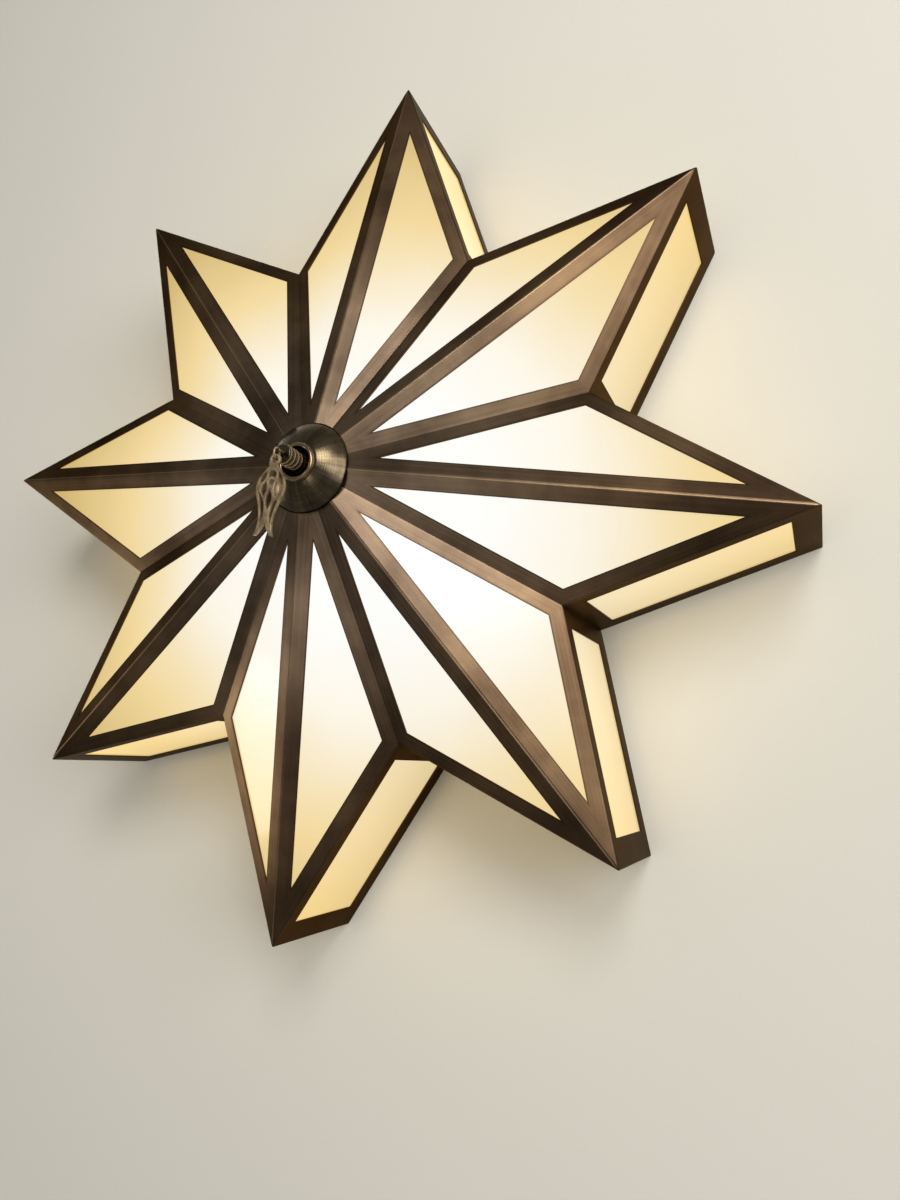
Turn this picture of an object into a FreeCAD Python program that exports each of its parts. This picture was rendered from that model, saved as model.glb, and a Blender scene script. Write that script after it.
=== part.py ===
import FreeCAD, Part
import math
import os

# Eight-pointed star light of folded brass sheet with opal glass panes.
# Millimetres. +Z is up, the wall or ceiling is the plane y = 0, and the star faces -Y.
# The origin is the centre of the face that meets the wall.

V = FreeCAD.Vector
ORIGIN = V(0, 0, 0)
TO_WALL = V(0, 1, 0)
TO_ROOM = V(0, -1, 0)

# Star outline
ARMS = 8
TIP_RADIUS = 300.0
NOTCH_RADIUS = 175.0
WALL_HEIGHT = 100.0
APEX_HEIGHT = 154.0
SHEET = 1.0

# Strips of sheet left round the windows
RIDGE_STRIP = 10.0
VALLEY_STRIP = 9.0
EDGE_STRIP = 9.5
SIDE_FRONT_STRIP = 10.5
SIDE_BASE_STRIP = 14.5
SIDE_TIP_STRIP = 17.5
SIDE_NOTCH_STRIP = 12.0

# Glass and the clips that hold it from behind
GLASS = 3.0
PANE_LAP = 4.0
CLIP_SHEET = 0.8
CLIP_WIDTH = 7.0
CLIP_REACH = 4.0
CLIP_GAP = 0.3

# Hub collar, cap and finial
HUB_HOLE_RADIUS = 8.0
COLLAR_GAP = 0.2
COLLAR_RADIUS = 24.0
COLLAR_SHEET = 2.0
COLLAR_SEAT_GAP = 0.05
CAP_RADIUS = 29.6
CAP_HEIGHT = 12.5
CAP_MOUTH_RADIUS = 10.5
CAP_SHEET = 0.8
CAP_BEAD_RADIUS = 1.4
CAP_BULGE = 1.2
FINIAL_FLANGE_RADIUS = 8.6
FINIAL_FLANGE = 3.0
FINIAL_RADIUS = 6.4
FINIAL_GROOVE = 0.9
FINIAL_RING_PITCH = 4.0
FINIAL_RINGS = 5
FINIAL_BORE_DEPTH = 16.0
EYE_RADIUS = 3.0
EYE_WIRE_RADIUS = 0.8
EYE_SINK = 1.2

# Hanging ring and drop
RING_RADIUS = 3.0
RING_WIRE_RADIUS = 0.6
LINK_GAP = 0.3
DROP_THICKNESS = 2.0
DROP_HOLE_RADIUS = 2.2
DROP_LOOP_RADIUS = 3.6
DROP_WIDTH = 20.0
DROP_WAIST = 9.8
DROP_FOOT = 13.6
DROP_NECK = 2.3
DROP_LENGTH = 46.6
DROP_WIRE = 1.8
DROP_CROTCH = 0.826

# Threaded rod and its nuts
ROD_RADIUS = 5.0
ROD_BORE_RADIUS = 3.2
ROD_FIT = 0.06
ROD_START = 6.0
ROD_IN_FINIAL = 14.0
NUT_ACROSS_FLATS = 14.0
NUT_THICKNESS = 5.0

# Wall pan
PAN_RADIUS = 75.0
PAN_DEPTH = 16.0
PAN_SHEET = 1.5
PAN_BEND = 3.0
SCREW_CIRCLE_RADIUS = 60.0
SCREW_HOLES = 4
SCREW_HOLE_RADIUS = 2.6
INLET_RADIUS = 38.0
INLET_ANGLE = 135.0
INLET_HOLE_RADIUS = 6.0

# Cable grommet and terminal block
GROMMET_FLANGE_RADIUS = 8.5
GROMMET_FLANGE = 2.0
GROMMET_BORE_RADIUS = 3.6
TERMINAL_LENGTH = 34.0
TERMINAL_DEPTH = 16.0
TERMINAL_HEIGHT = 15.0
TERMINAL_STEP = 4.0
TERMINAL_POLES = 3
TERMINAL_HOLE_RADIUS = 2.0
TERMINAL_SCREW_RADIUS = 2.2
TERMINAL_SCREW_DEPTH = 5.0
TERMINAL_RADIUS = 44.0
TERMINAL_ANGLE = 225.0

# Bracket, lampholders and bulbs
LAMPS = 4
LAMP_HEIGHT = 46.0
BRACKET_SHEET = 2.0
BRACKET_HUB_RADIUS = 20.0
BRACKET_LEG_WIDTH = 20.0
BRACKET_REACH = 36.0
BRACKET_TAB_TOP = 12.0
NIPPLE_RADIUS = 5.0
NIPPLE_FIT = 0.1
NIPPLE_END = 3.0
HOLDER_FLANGE_RADIUS = 11.0
HOLDER_FLANGE = 3.0
HOLDER_NECK_RADIUS = 9.0
HOLDER_SHOULDER = 9.0
HOLDER_RADIUS = 13.0
HOLDER_LENGTH = 45.0
HOLDER_BORE_DEPTH = 22.0
HOLDER_FIT = 0.3
BULB_CAP_RADIUS = 7.0
BULB_CAP_END_GAP = 1.0
BULB_SKIRT_RADIUS = 9.0
BULB_SKIRT_GAP = 1.0
BULB_RADIUS = 22.5
BULB_LENGTH = 78.0
BULB_NECK_ANGLE = 130.0

HALF_STEP = 180.0 / ARMS
STEP = 360.0 / ARMS


# Small helpers

def at(radius, angle, height):
    """The point at a radius and an angle from +X towards +Z, this high above the wall."""
    turn = math.radians(angle)
    return V(radius * math.cos(turn), -height, radius * math.sin(turn))


def turned_to(shape, angle):
    """A copy of a shape made along +X, turned about the star's axis to an arm's angle."""
    return shape.rotated(ORIGIN, TO_ROOM, angle)


def arm_angle(number):
    """Arm 1 points up and the others follow clockwise, seen from the room."""
    return 90.0 - STEP * (number - 1)


def polygon_face(points):
    return Part.Face(Part.makePolygon(points + points[:1]))


def turned(profile):
    """A solid of revolution about the star's axis from (radius, height) points."""
    face = polygon_face([at(radius, 0, height) for radius, height in profile])
    return face.revolve(ORIGIN, TO_WALL, 360)


def cylinder(radius, low, high):
    """A cylinder on the star's axis between two heights above the wall."""
    return Part.makeCylinder(radius, high - low, at(0, 0, low), TO_ROOM)


def slab(front, back):
    """A flat-sided solid between two outlines with as many corners each."""
    count = len(front)
    faces = [polygon_face(front), polygon_face(back)]
    for i in range(count):
        j = (i + 1) % count
        faces.append(polygon_face([front[i], front[j], back[j], back[i]]))
    solid = Part.Solid(Part.Shell(faces))
    if solid.Volume < 0:
        solid.reverse()
    return solid


def plane_towards(points, outside):
    """The plane through three points, as a point and a unit normal on the outside's side."""
    first, second, third = points
    normal = (second - first).cross(third - first).normalize()
    if normal.dot(outside) < 0:
        normal = normal * -1
    return first, normal


def moved_in(plane, distance):
    point, normal = plane
    return point - normal * distance, normal


def corner(plane_a, plane_b, plane_c):
    """The point where three planes meet."""
    (point_a, a), (point_b, b), (point_c, c) = plane_a, plane_b, plane_c
    total = b.cross(c) * point_a.dot(a) + c.cross(a) * point_b.dot(b) + a.cross(b) * point_c.dot(c)
    return total * (1.0 / a.dot(b.cross(c)))


def inset(plane, corners, strips):
    """An outline in a plane with each side moved in by its own strip width."""
    normal = plane[1]
    middle = sum(corners, V()) * (1.0 / len(corners))
    sides = []
    for i, strip in enumerate(strips):
        start = corners[i]
        along = corners[(i + 1) % len(corners)] - start
        inward = normal.cross(along).normalize()
        if inward.dot(middle - start) < 0:
            inward = inward * -1
        sides.append((start + inward * strip, inward))
    return [corner(plane, sides[i - 1], sides[i]) for i in range(len(sides))]


# The arm that points along +X, which all arms are turned copies of

APEX = at(0, 0, APEX_HEIGHT)
TIP = at(TIP_RADIUS, 0, WALL_HEIGHT)
RIDGE_PLANE = (ORIGIN, V(0, 0, 1))
WALL_PLANE = (ORIGIN, TO_WALL)


def notch(side):
    return at(NOTCH_RADIUS, side * HALF_STEP, WALL_HEIGHT)


def valley_plane(side):
    return plane_towards([ORIGIN, APEX, notch(side)], V(0, 0, side))


def facet_plane(side):
    return plane_towards([APEX, TIP, notch(side)], TO_ROOM)


def side_plane(side):
    return plane_towards([TIP, notch(side), notch(side) + TO_WALL], V(1, 0, 0))


def facet_outline(side):
    return [APEX, TIP, notch(side)]


def facet_strips(cover=0.0):
    return [RIDGE_STRIP - cover, EDGE_STRIP - cover, VALLEY_STRIP - cover]


def side_outline(side):
    drop = TO_WALL * WALL_HEIGHT
    return [TIP, TIP + drop, notch(side) + drop, notch(side)]


def side_strips(cover=0.0):
    strips = [SIDE_TIP_STRIP, SIDE_BASE_STRIP, SIDE_NOTCH_STRIP, SIDE_FRONT_STRIP]
    return [strip - cover for strip in strips]


def facet_plate(side):
    """One front facet, mitred at the ridge and square to the valley."""
    outside = facet_plane(side)
    faces = []
    for face in (outside, moved_in(outside, SHEET)):
        faces.append([
            corner(face, RIDGE_PLANE, valley_plane(side)),
            corner(face, RIDGE_PLANE, side_plane(side)),
            corner(face, side_plane(side), valley_plane(side)),
        ])
    return slab(*faces)


def side_plate(side):
    """One side wall, from the wall plane up to the back of its front facet."""
    outside = side_plane(side)
    under_facet = moved_in(facet_plane(side), SHEET)
    faces = []
    for face in (outside, moved_in(outside, SHEET)):
        faces.append([
            corner(face, RIDGE_PLANE, WALL_PLANE),
            corner(face, RIDGE_PLANE, under_facet),
            corner(face, valley_plane(side), under_facet),
            corner(face, valley_plane(side), WALL_PLANE),
        ])
    return slab(*faces)


def window(plane, outline, strips):
    """The cutter for one window, through the sheet from outside to inside."""
    normal = plane[1]
    face = polygon_face(inset(plane, outline, strips))
    face.translate(normal * SHEET)
    return face.extrude(normal * (-3 * SHEET))


def star_arm():
    """One arm: two front facets folded at the ridge and two side walls folded back from them."""
    arm = facet_plate(1).fuse([facet_plate(-1), side_plate(1), side_plate(-1)]).removeSplitter()
    for side in (1, -1):
        arm = arm.cut(window(facet_plane(side), facet_outline(side), facet_strips()))
        arm = arm.cut(window(side_plane(side), side_outline(side), side_strips()))
    return arm.cut(cylinder(HUB_HOLE_RADIUS, 0, APEX_HEIGHT + SHEET))


def pane_outline(plane, outline, strips):
    """A pane's front outline, on the back of the sheet."""
    normal = plane[1]
    return [point - normal * SHEET for point in inset(plane, outline, strips)]


def pane(plane, outline, strips):
    return polygon_face(pane_outline(plane, outline, strips)).extrude(plane[1] * -GLASS)


def clips(plane, outline, strips):
    """One bent clip at the middle of each edge of a pane, soldered to the back of the sheet."""
    normal = plane[1]
    corners = pane_outline(plane, outline, strips)
    middle = sum(corners, V()) * (1.0 / len(corners))
    leg_out = CLIP_GAP + CLIP_SHEET
    depth = GLASS + CLIP_SHEET
    profile = [(CLIP_GAP, 0), (leg_out, 0), (leg_out, depth), (-CLIP_REACH, depth),
               (-CLIP_REACH, GLASS), (CLIP_GAP, GLASS)]
    solids = []
    for i, start in enumerate(corners):
        end = corners[(i + 1) % len(corners)]
        along = (end - start).normalize()
        outward = normal.cross(along)
        if outward.dot(middle - start) > 0:
            outward = outward * -1
        centre = (start + end) * 0.5 - along * (CLIP_WIDTH / 2)
        points = [centre + outward * out - normal * deep for out, deep in profile]
        solids.append(polygon_face(points).extrude(along * CLIP_WIDTH))
    return solids


# Hub collar, cap and finial nut

def ridge_height(radius):
    return APEX_HEIGHT - (APEX_HEIGHT - WALL_HEIGHT) * radius / TIP_RADIUS


def valley_height(radius):
    return APEX_HEIGHT - (APEX_HEIGHT - WALL_HEIGHT) * radius / NOTCH_RADIUS


def collar_height(radius):
    """The height of the collar's cone, which touches the back of the sheet along the valleys."""
    sheet_drop = SHEET / -facet_plane(1)[1].y
    return valley_height(radius) - sheet_drop - COLLAR_SEAT_GAP


def hub_collar():
    """A turned cone behind the hub, with a neck through it that the finial nut seats on."""
    bore = ROD_RADIUS + COLLAR_GAP
    neck = HUB_HOLE_RADIUS - COLLAR_GAP
    return turned([
        (bore, APEX_HEIGHT),
        (neck, APEX_HEIGHT),
        (neck, collar_height(neck)),
        (COLLAR_RADIUS, collar_height(COLLAR_RADIUS)),
        (COLLAR_RADIUS, collar_height(COLLAR_RADIUS) - COLLAR_SHEET),
        (bore, collar_height(neck) - COLLAR_SHEET),
    ])


def cap():
    """A spun cone that stands on the eight ridges, with a rolled bead round its mouth."""
    foot = ridge_height(CAP_RADIUS - CAP_SHEET)
    top = foot + CAP_HEIGHT

    def wall_line(offset):
        low = at(CAP_RADIUS - offset, 0, foot)
        high = at(CAP_MOUTH_RADIUS + CAP_SHEET - offset, 0, top)
        across = (high - low).cross(V(0, 0, 1)).normalize()
        if across.x < 0:
            across = across * -1
        return low, (low + high) * 0.5 + across * CAP_BULGE, high

    low_out, mid_out, high_out = wall_line(0)
    low_in, mid_in, high_in = wall_line(CAP_SHEET)
    edges = [
        Part.Arc(low_out, mid_out, high_out).toShape(),
        Part.LineSegment(high_out, high_in).toShape(),
        Part.Arc(high_in, mid_in, low_in).toShape(),
        Part.LineSegment(low_in, low_out).toShape(),
    ]
    shell = Part.Face(Part.Wire(edges)).revolve(ORIGIN, TO_WALL, 360)
    bead = Part.makeTorus(CAP_MOUTH_RADIUS + CAP_SHEET / 2, CAP_BEAD_RADIUS, at(0, 0, top), TO_ROOM)
    return shell.fuse(bead).removeSplitter()


FINIAL_SEAT = APEX_HEIGHT
FINIAL_END = FINIAL_SEAT + FINIAL_FLANGE + FINIAL_RINGS * FINIAL_RING_PITCH
EYE_HEIGHT = FINIAL_END + EYE_RADIUS - EYE_SINK
EYE_BAR = at(0, 0, EYE_HEIGHT + EYE_RADIUS)


def finial_nut():
    """A ringed knob with a blind threaded bore and an eye across its end."""
    profile = [(0, FINIAL_SEAT), (FINIAL_FLANGE_RADIUS, FINIAL_SEAT),
               (FINIAL_FLANGE_RADIUS, FINIAL_SEAT + FINIAL_FLANGE)]
    for ring in range(FINIAL_RINGS):
        start = FINIAL_SEAT + FINIAL_FLANGE + ring * FINIAL_RING_PITCH
        profile.append((FINIAL_RADIUS - FINIAL_GROOVE, start))
        profile.append((FINIAL_RADIUS, start + FINIAL_RING_PITCH * 0.35))
        profile.append((FINIAL_RADIUS, start + FINIAL_RING_PITCH * 0.65))
    profile.append((FINIAL_RADIUS - FINIAL_GROOVE, FINIAL_END))
    profile.append((0, FINIAL_END))
    knob = turned(profile)
    knob = knob.cut(cylinder(ROD_RADIUS + ROD_FIT, FINIAL_SEAT, FINIAL_SEAT + FINIAL_BORE_DEPTH))
    eye = Part.makeTorus(EYE_RADIUS, EYE_WIRE_RADIUS, at(0, 0, EYE_HEIGHT), V(0, 0, 1))
    return knob.fuse(eye).removeSplitter()


# Ring and openwork drop

RING_DROP = RING_RADIUS - RING_WIRE_RADIUS - EYE_WIRE_RADIUS - LINK_GAP
RING_CENTRE = EYE_BAR - V(0, 0, RING_DROP)
DROP_HANG = RING_CENTRE - V(0, 0, RING_RADIUS - RING_WIRE_RADIUS - LINK_GAP + DROP_HOLE_RADIUS)


def drop_ring():
    """The ring hangs over the front of the eye and is seen nearly edge on."""
    return Part.makeTorus(RING_RADIUS, RING_WIRE_RADIUS, RING_CENTRE, V(1, 0, 0))


def drop_point(across, down):
    """A point on the drop's back face, measured from the middle of its hole."""
    return DROP_HANG + V(across, DROP_THICKNESS / 2, -down)


def drop_share(across, down):
    """A point on the drop's back face, as shares of its half width and of its length."""
    return drop_point(across * DROP_WIDTH / 2, down * DROP_LENGTH)


def leaf(start, end, first, second):
    """An opening between two arcs from start to end: the middle of each arc is given."""
    arcs = [Part.Arc(drop_share(*start), drop_share(*first), drop_share(*end)).toShape(),
            Part.Arc(drop_share(*end), drop_share(*second), drop_share(*start)).toShape()]
    return Part.Face(Part.Wire(arcs)).extrude(TO_ROOM * DROP_THICKNESS)


def drop_blank():
    """The drop's outline: shoulders, belly, waist and two parted feet."""
    shoulder = (DROP_LOOP_RADIUS / DROP_WIDTH, DROP_NECK / DROP_LENGTH)
    foot = (DROP_FOOT / DROP_WIDTH, 1.0)
    foot_inner = ((DROP_FOOT - 2 * DROP_WIRE) / DROP_WIDTH, 1.0)
    waist = DROP_WAIST / DROP_WIDTH
    side = [shoulder, (0.49, 0.14), (0.95, 0.30), (1.0, 0.37), (0.76, 0.55), (waist, 0.80), foot]
    edges = [Part.LineSegment(drop_share(-shoulder[0], shoulder[1]), drop_share(*shoulder)).toShape()]
    for mirror in (1, -1):
        curve = Part.BSplineCurve()
        curve.interpolate([drop_share(mirror * across, down) for across, down in side])
        edges.append(curve.toShape())
        tip = drop_share(mirror * foot[0], 1.0)
        tip_inner = drop_share(mirror * foot_inner[0], 1.0)
        middle = drop_share(mirror * foot_inner[0] * 0.4, (DROP_CROTCH + 1.0) / 2)
        edges.append(Part.LineSegment(tip, tip_inner).toShape())
        edges.append(Part.Arc(tip_inner, middle, drop_share(0, DROP_CROTCH)).toShape())
    return Part.Face(Part.Wire(Part.__sortEdges__(edges))).extrude(TO_ROOM * DROP_THICKNESS)


def drop():
    """A flat openwork tulip on a loop, cut through between its petals."""
    loop = Part.makeCylinder(DROP_LOOP_RADIUS, DROP_THICKNESS, drop_point(0, 0), TO_ROOM)
    hole = Part.makeCylinder(DROP_HOLE_RADIUS, DROP_THICKNESS, drop_point(0, 0), TO_ROOM)
    central_leaf = leaf((0, 0.36), (0, 0.67), (-0.215, 0.515), (0.215, 0.515))
    top_light = leaf((-0.21, 0.245), (0.21, 0.245), (0, 0.142), (0, 0.225))
    arch_light = leaf((-0.21, 0.285), (0.21, 0.285), (0, 0.258), (0, 0.332))
    openings = [hole, central_leaf, top_light, arch_light]
    for mirror in (1, -1):
        petal = leaf((mirror * 0.35, 0.285), (mirror * 0.40, 0.49),
                     (mirror * 0.25, 0.40), (mirror * 0.64, 0.375))
        shoulder_light = leaf((mirror * 0.40, 0.155), (mirror * 0.80, 0.335),
                              (mirror * 0.46, 0.262), (mirror * 0.70, 0.228))
        flank = leaf((mirror * 0.82, 0.415), (mirror * 0.34, 0.85),
                     (mirror * 0.20, 0.69), (mirror * 0.49, 0.66))
        openings += [petal, shoulder_light, flank]
    return drop_blank().fuse(loop).removeSplitter().cut(openings)


# Rod, nuts and wall pan

ROD_END = FINIAL_SEAT + ROD_IN_FINIAL


def centre_rod():
    tube = cylinder(ROD_RADIUS, ROD_START, ROD_END)
    return tube.cut(cylinder(ROD_BORE_RADIUS, ROD_START, ROD_END))


def rod_nut(low):
    """A hexagon nut on the rod, this high above the wall."""
    reach = NUT_ACROSS_FLATS / 2 / math.cos(math.radians(30))
    outline = [at(reach, 60 * i, low) for i in range(6)]
    nut = polygon_face(outline).extrude(TO_ROOM * NUT_THICKNESS)
    return nut.cut(cylinder(ROD_RADIUS + ROD_FIT, low, low + NUT_THICKNESS))


def rod_lock_nuts():
    behind = PAN_DEPTH - PAN_SHEET - NUT_THICKNESS
    in_front = PAN_DEPTH + BRACKET_SHEET
    return [rod_nut(behind), rod_nut(in_front)]


def wall_pan():
    """A shallow pressed pan whose rim rests on the wall, with room behind for the connections."""
    inner = PAN_RADIUS - PAN_SHEET
    floor = PAN_DEPTH - PAN_SHEET
    pan = turned([
        (0, PAN_DEPTH), (PAN_RADIUS - PAN_BEND, PAN_DEPTH), (PAN_RADIUS, PAN_DEPTH - PAN_BEND),
        (PAN_RADIUS, 0), (inner, 0), (inner, floor - PAN_BEND + PAN_SHEET / 2),
        (inner - PAN_BEND + PAN_SHEET / 2, floor), (0, floor),
    ])
    holes = [cylinder(ROD_RADIUS + ROD_FIT, 0, PAN_DEPTH)]
    for i in range(SCREW_HOLES):
        place = at(SCREW_CIRCLE_RADIUS, 45 + 360 / SCREW_HOLES * i, 0)
        holes.append(Part.makeCylinder(SCREW_HOLE_RADIUS, PAN_DEPTH, place, TO_ROOM))
    inlet = at(INLET_RADIUS, INLET_ANGLE, 0)
    holes.append(Part.makeCylinder(INLET_HOLE_RADIUS, PAN_DEPTH, inlet, TO_ROOM))
    return pan.cut(holes)


def cable_grommet():
    """A rubber ring in the pan's inlet hole, with a flange on each face of the sheet."""
    floor = PAN_DEPTH - PAN_SHEET
    ring = turned([
        (GROMMET_BORE_RADIUS, floor - GROMMET_FLANGE), (GROMMET_FLANGE_RADIUS, floor - GROMMET_FLANGE),
        (GROMMET_FLANGE_RADIUS, floor), (INLET_HOLE_RADIUS, floor),
        (INLET_HOLE_RADIUS, PAN_DEPTH), (GROMMET_FLANGE_RADIUS, PAN_DEPTH),
        (GROMMET_FLANGE_RADIUS, PAN_DEPTH + GROMMET_FLANGE),
        (GROMMET_BORE_RADIUS, PAN_DEPTH + GROMMET_FLANGE),
    ])
    return ring.translated(at(INLET_RADIUS, INLET_ANGLE, 0))


def terminal_block():
    """A stepped block with a wire hole right through each pole and a screw well above it."""
    low = PAN_DEPTH
    step = low + TERMINAL_HEIGHT - TERMINAL_STEP
    half = TERMINAL_LENGTH / 2
    base = Part.makeBox(TERMINAL_DEPTH, step - low, TERMINAL_LENGTH, V(-TERMINAL_DEPTH / 2, -step, -half))
    ridge = Part.makeBox(TERMINAL_DEPTH / 2, TERMINAL_STEP, TERMINAL_LENGTH,
                         V(-TERMINAL_DEPTH / 4, -step - TERMINAL_STEP, -half))
    block = base.fuse(ridge).removeSplitter()
    pole = TERMINAL_LENGTH / TERMINAL_POLES
    wells = []
    for i in range(TERMINAL_POLES):
        along = -half + pole * (i + 0.5)
        wire_height = (low + step) / 2
        wells.append(Part.makeCylinder(TERMINAL_HOLE_RADIUS, TERMINAL_DEPTH,
                                       V(-TERMINAL_DEPTH / 2, -wire_height, along), V(1, 0, 0)))
        wells.append(Part.makeCylinder(TERMINAL_SCREW_RADIUS, TERMINAL_SCREW_DEPTH,
                                       V(0, -low - TERMINAL_HEIGHT, along), TO_WALL))
    block = block.cut(wells).translated(V(TERMINAL_RADIUS, 0, 0))
    return turned_to(block, TERMINAL_ANGLE)


# Lamp bracket, lampholders and bulbs

def lamp_angle(number):
    return 90.0 - 360.0 / LAMPS * (number - 1)


def lamp_bracket():
    """A cross of strip under the front nut, each leg turned up into a tab for a lampholder."""
    bracket = cylinder(BRACKET_HUB_RADIUS, PAN_DEPTH, PAN_DEPTH + BRACKET_SHEET)
    top = LAMP_HEIGHT + BRACKET_TAB_TOP
    half = BRACKET_LEG_WIDTH / 2
    leg = Part.makeBox(BRACKET_REACH, BRACKET_SHEET, BRACKET_LEG_WIDTH,
                       V(0, -PAN_DEPTH - BRACKET_SHEET, -half))
    tab = Part.makeBox(BRACKET_SHEET, top - PAN_DEPTH, BRACKET_LEG_WIDTH,
                       V(BRACKET_REACH - BRACKET_SHEET, -top, -half))
    hole = Part.makeCylinder(NIPPLE_RADIUS + NIPPLE_FIT, BRACKET_SHEET,
                             V(BRACKET_REACH - BRACKET_SHEET, -LAMP_HEIGHT, 0), V(1, 0, 0))
    arm = leg.fuse(tab).cut(hole)
    arms = [turned_to(arm, lamp_angle(number + 1)) for number in range(LAMPS)]
    bracket = bracket.fuse(arms).removeSplitter()
    return bracket.cut(cylinder(ROD_RADIUS + ROD_FIT, PAN_DEPTH, PAN_DEPTH + BRACKET_SHEET))


def lamp_edges(profile):
    """Points (radius, distance out from the tab) as places beside a lamp's own axis."""
    return [V(BRACKET_REACH + out, -LAMP_HEIGHT, radius) for radius, out in profile]


def lamp_turned(edges):
    axis = V(BRACKET_REACH, -LAMP_HEIGHT, 0)
    return Part.Face(Part.Wire(edges)).revolve(axis, V(1, 0, 0), 360)


def lampholder():
    """A holder with a nipple through the bracket's tab and a socket for the bulb's cap."""
    bore = BULB_CAP_RADIUS + HOLDER_FIT
    bottom = HOLDER_LENGTH - HOLDER_BORE_DEPTH
    points = lamp_edges([
        (0, -BRACKET_SHEET - NIPPLE_END), (NIPPLE_RADIUS, -BRACKET_SHEET - NIPPLE_END),
        (NIPPLE_RADIUS, 0), (HOLDER_FLANGE_RADIUS, 0), (HOLDER_FLANGE_RADIUS, HOLDER_FLANGE),
        (HOLDER_NECK_RADIUS, HOLDER_FLANGE), (HOLDER_RADIUS, HOLDER_SHOULDER),
        (HOLDER_RADIUS, HOLDER_LENGTH), (bore, HOLDER_LENGTH), (bore, bottom), (0, bottom),
    ])
    return lamp_turned(Part.makePolygon(points + points[:1]).Edges)


def bulb():
    """A round bulb: screw cap in the socket, skirt just clear of the holder, and globe."""
    start = HOLDER_LENGTH - HOLDER_BORE_DEPTH + BULB_CAP_END_GAP
    skirt = HOLDER_LENGTH + BULB_SKIRT_GAP
    end = start + BULB_LENGTH
    centre = end - BULB_RADIUS
    bend = math.radians(BULB_NECK_ANGLE)
    neck = (BULB_RADIUS * math.sin(bend), centre + BULB_RADIUS * math.cos(bend))
    points = lamp_edges([
        (0, end), (0, start), (BULB_CAP_RADIUS, start), (BULB_CAP_RADIUS, skirt),
        (BULB_SKIRT_RADIUS, skirt), neck,
    ])
    widest = lamp_edges([(BULB_RADIUS, centre)])[0]
    edges = Part.makePolygon(points).Edges
    edges.append(Part.Arc(points[-1], widest, points[0]).toShape())
    return lamp_turned(edges)


# All the pieces, by node name

def build():
    pieces = {}
    arm = star_arm()
    clip_solids = []
    for number in range(1, ARMS + 1):
        pieces["star_arm_%d" % number] = turned_to(arm, arm_angle(number))
    for side, word in ((1, "left"), (-1, "right")):
        front = (facet_plane(side), facet_outline(side), facet_strips(PANE_LAP))
        flank = (side_plane(side), side_outline(side), side_strips(PANE_LAP))
        for number in range(1, ARMS + 1):
            angle = arm_angle(number)
            pieces["front_pane_%d_%s" % (number, word)] = turned_to(pane(*front), angle)
            pieces["side_pane_%d_%s" % (number, word)] = turned_to(pane(*flank), angle)
            clip_solids += [turned_to(clip, angle) for clip in clips(*front) + clips(*flank)]
    pieces["pane_clips"] = Part.makeCompound(clip_solids)
    pieces["hub_collar"] = hub_collar()
    pieces["cap"] = cap()
    pieces["finial_nut"] = finial_nut()
    pieces["drop_ring"] = drop_ring()
    pieces["drop"] = drop()
    pieces["centre_rod"] = centre_rod()
    pieces["rod_lock_nuts"] = Part.makeCompound(rod_lock_nuts())
    pieces["wall_pan"] = wall_pan()
    pieces["cable_grommet"] = cable_grommet()
    pieces["terminal_block"] = terminal_block()
    pieces["lamp_bracket"] = lamp_bracket()
    for number in range(1, LAMPS + 1):
        pieces["lampholder_%d" % number] = turned_to(lampholder(), lamp_angle(number))
        pieces["bulb_%d" % number] = turned_to(bulb(), lamp_angle(number))
    return pieces


os.makedirs("parts", exist_ok=True)
for name, shape in build().items():
    shape.exportStep("parts/%s.step" % name)
    print(name, len(shape.Solids), shape.isValid(), round(shape.Volume, 1))
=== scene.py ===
import math

import bmesh
import bpy
from bpy.props import FloatProperty, FloatVectorProperty, IntProperty, PointerProperty
from mathutils import Matrix, Quaternion, Vector
from mathutils.geometry import intersect_line_line


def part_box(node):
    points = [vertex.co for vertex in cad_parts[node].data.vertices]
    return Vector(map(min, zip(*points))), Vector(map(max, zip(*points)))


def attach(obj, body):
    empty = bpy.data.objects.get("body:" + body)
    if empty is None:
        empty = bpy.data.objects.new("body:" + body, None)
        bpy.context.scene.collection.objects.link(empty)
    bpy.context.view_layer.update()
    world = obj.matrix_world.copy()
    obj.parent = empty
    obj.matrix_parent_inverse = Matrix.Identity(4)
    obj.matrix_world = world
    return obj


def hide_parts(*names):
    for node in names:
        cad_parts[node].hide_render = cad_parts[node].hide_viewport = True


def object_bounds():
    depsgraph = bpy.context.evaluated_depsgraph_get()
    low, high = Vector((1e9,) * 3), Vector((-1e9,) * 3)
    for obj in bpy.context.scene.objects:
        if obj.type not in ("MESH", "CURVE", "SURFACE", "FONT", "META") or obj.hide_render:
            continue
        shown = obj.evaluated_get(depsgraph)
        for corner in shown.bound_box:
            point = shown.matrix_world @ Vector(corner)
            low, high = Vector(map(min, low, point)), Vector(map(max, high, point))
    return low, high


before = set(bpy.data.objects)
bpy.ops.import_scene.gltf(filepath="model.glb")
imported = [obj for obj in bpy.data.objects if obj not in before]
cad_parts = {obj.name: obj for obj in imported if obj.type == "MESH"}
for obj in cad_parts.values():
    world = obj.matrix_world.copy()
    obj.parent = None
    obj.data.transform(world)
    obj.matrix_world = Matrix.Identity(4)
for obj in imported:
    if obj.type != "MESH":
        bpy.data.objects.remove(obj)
CAD_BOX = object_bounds()

bl_info = {
    "name": "Star Light Finish",
    "version": (1, 0, 0),
    "blender": (4, 5, 0),
    "location": "View3D > Sidebar > Star Light",
    "description": "Dresses a folded brass star light: sheet, opal panes, cap, finial, drop and lamps",
    "category": "Object",
}

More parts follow.
